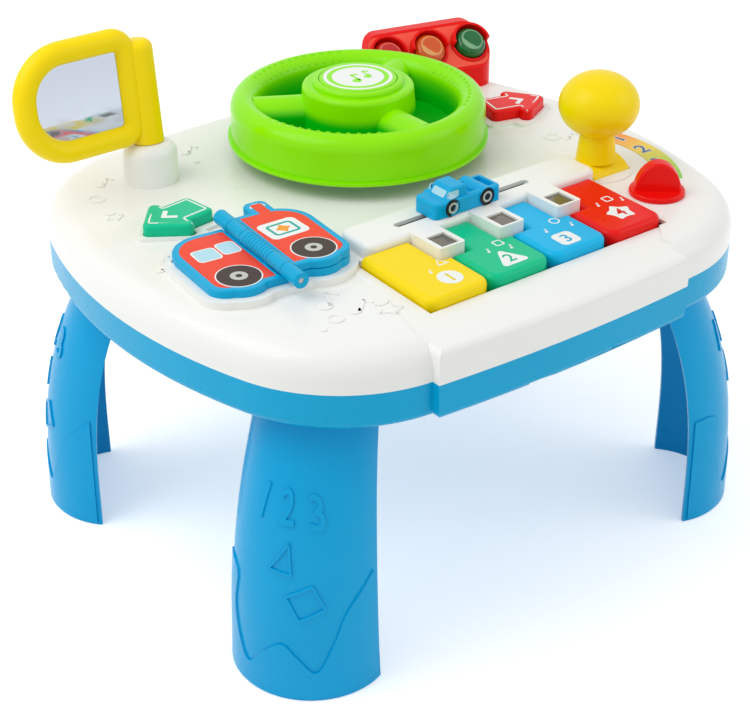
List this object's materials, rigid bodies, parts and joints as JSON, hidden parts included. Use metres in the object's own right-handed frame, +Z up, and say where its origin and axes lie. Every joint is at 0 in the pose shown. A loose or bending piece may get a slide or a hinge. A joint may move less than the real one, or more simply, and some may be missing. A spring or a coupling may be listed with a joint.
{
  "type": "musical activity table",
  "caption": "Toddler activity table on bowed legs with steering wheel, piano keys, flip book, sliding car, gear lever, mirror and traffic light box.",
  "frame": {"origin": "on the floor at the middle of the footprint", "axes": "+Z up, +X to the right of the seated child, +Y away from the child, past the steering wheel"},
  "size_m": [0.388, 0.3425, 0.3129],
  "materials": {
    "white_casing": "glossy",
    "blue_casing": "glossy",
    "blue_legs": "satin gloss",
    "lime_plastic": "glossy",
    "yellow_plastic": "glossy",
    "green_plastic": "glossy",
    "sky_plastic": "glossy",
    "red_plastic": "glossy",
    "teal_plastic": "glossy",
    "car_plastic": "glossy",
    "book_plastic": "glossy",
    "book_print": "printed sheet",
    "dial_print": "printed sheet",
    "light_face_print": "printed sheet",
    "mirror_sheet": "polished",
    "window_smoke": "clear smoked",
    "lens_red": "clear coloured",
    "lens_amber": "clear coloured",
    "lens_green": "clear coloured",
    "steel": "plated",
    "dome_rubber": "matte",
    "board_green": "printed board",
    "black_plastic": "matte",
    "bush_white": "matte",
    "rail_grey": "matte",
    "led_clear": "clear",
    "cell_wrap": "wrapped",
    "contact_nickel": "plated"
  },
  "bodies": {
    "table": {"top_shell": "white_casing", "bottom_shell": "blue_casing", "casing_screws": "steel", "wheel_bush": "bush_white", "key_pivot_rod": "steel", "key_domes": "dome_rubber", "indicator_windows": "window_smoke", "slider_rail": "rail_grey", "slider_screws": "steel", "book_base": "book_plastic", "book_base_print": "book_print", "book_pin": "steel", "button_domes": "dome_rubber", "button_boards": "board_green", "button_board_screws": "steel", "gear_axle": "steel", "gear_dial": "dial_print", "knob_encoder": "black_plastic", "traffic_light_housing": "red_plastic", "traffic_light_face": "light_face_print", "lamp_red": "lens_red", "lamp_amber": "lens_amber", "lamp_green": "lens_green", "lamp_board": "board_green", "lamp_leds": "led_clear", "lamp_board_screws": "steel", "housing_screws": "steel", "circuit_board": "board_green", "board_screws": "steel", "speaker": "black_plastic", "batteries": "cell_wrap", "battery_contacts": "contact_nickel", "battery_door": "blue_casing", "battery_door_screw": "steel", "leg_front_left": "blue_legs", "leg_front_right": "blue_legs", "leg_back_left": "blue_legs", "leg_back_right": "blue_legs"},
    "wheel": {"steering_wheel": "lime_plastic", "wheel_retainer": "steel", "wheel_screw": "steel", "horn_dome": "dome_rubber"},
    "horn": {"horn_button": "lime_plastic"},
    "yellow_key": {"key_yellow": "yellow_plastic"},
    "green_key": {"key_green": "green_plastic"},
    "blue_key": {"key_blue": "sky_plastic"},
    "red_key": {"key_red": "red_plastic"},
    "car_slider": {"slider_car": "car_plastic", "slider_carriage": "rail_grey"},
    "page": {"book_page": "book_plastic", "book_page_print": "book_print"},
    "left_arrow": {"left_arrow_button": "teal_plastic"},
    "right_arrow": {"right_arrow_button": "red_plastic"},
    "lever": {"gear_lever": "yellow_plastic"},
    "knob": {"rotary_knob": "red_plastic"},
    "mirror": {"mirror_frame": "yellow_plastic", "mirror_glass": "mirror_sheet", "mirror_back": "yellow_plastic", "mirror_screw": "steel"},
    "switch": {"power_switch": "black_plastic"}
  },
  "joints": [
    {"name": "wheel_turn", "type": "hinge", "parent": "table", "child": "wheel", "pos_m": [0.0235, 0.06425, 0.23], "axis": [0, 0, 1], "continuous": true},
    {"name": "horn_press", "type": "slide", "parent": "wheel", "child": "horn", "axis": [0, 0, -1], "range_m": [0, 0.002], "stiffness_N_per_m": 400, "springref_m": -0.001},
    {"name": "yellow_key_press", "type": "hinge", "parent": "table", "child": "yellow_key", "pos_m": [-0.008, -0.06025, 0.209], "axis": [1, 0, 0], "range_deg": [0, 2.2], "stiffness_Nm_per_rad": 0.5, "springref_deg": -2.86},
    {"name": "green_key_press", "type": "hinge", "parent": "table", "child": "green_key", "pos_m": [-0.008, -0.06025, 0.209], "axis": [1, 0, 0], "range_deg": [0, 2.2], "stiffness_Nm_per_rad": 0.5, "springref_deg": -2.86},
    {"name": "blue_key_press", "type": "hinge", "parent": "table", "child": "blue_key", "pos_m": [-0.008, -0.06025, 0.209], "axis": [1, 0, 0], "range_deg": [0, 2.2], "stiffness_Nm_per_rad": 0.5, "springref_deg": -2.86},
    {"name": "red_key_press", "type": "hinge", "parent": "table", "child": "red_key", "pos_m": [-0.008, -0.06025, 0.209], "axis": [1, 0, 0], "range_deg": [0, 2.2], "stiffness_Nm_per_rad": 0.5, "springref_deg": -2.86},
    {"name": "car_slide", "type": "slide", "parent": "table", "child": "car_slider", "axis": [1, 0, 0], "range_m": [-0.037, 0.045]},
    {"name": "page_turn", "type": "hinge", "parent": "table", "child": "page", "pos_m": [-0.1204, -0.03375, 0.2273], "axis": [-0.1045, -0.9945, 0], "range_deg": [0, 179]},
    {"name": "left_arrow_press", "type": "slide", "parent": "table", "child": "left_arrow", "axis": [0, 0, -1], "range_m": [0, 0.0022], "stiffness_N_per_m": 400, "springref_m": -0.001},
    {"name": "right_arrow_press", "type": "slide", "parent": "table", "child": "right_arrow", "axis": [0, 0, -1], "range_m": [0, 0.0022], "stiffness_N_per_m": 400, "springref_m": -0.001},
    {"name": "lever_swing", "type": "hinge", "parent": "table", "child": "lever", "pos_m": [0.122, -0.05025, 0.203], "axis": [1, 0, 0], "range_deg": [-14, 14]},
    {"name": "knob_turn", "type": "hinge", "parent": "table", "child": "knob", "pos_m": [0.1255, -0.10025, 0.2155], "axis": [0, 0, 1], "range_deg": [-60, 60]},
    {"name": "mirror_swivel", "type": "hinge", "parent": "table", "child": "mirror", "pos_m": [-0.105, 0.10625, 0.24], "axis": [0, 0.1219, 0.9925], "range_deg": [-55, 55]},
    {"name": "switch_slide", "type": "slide", "parent": "table", "child": "switch", "axis": [1, 0, 0], "range_m": [0, 0.003]}
  ]
}
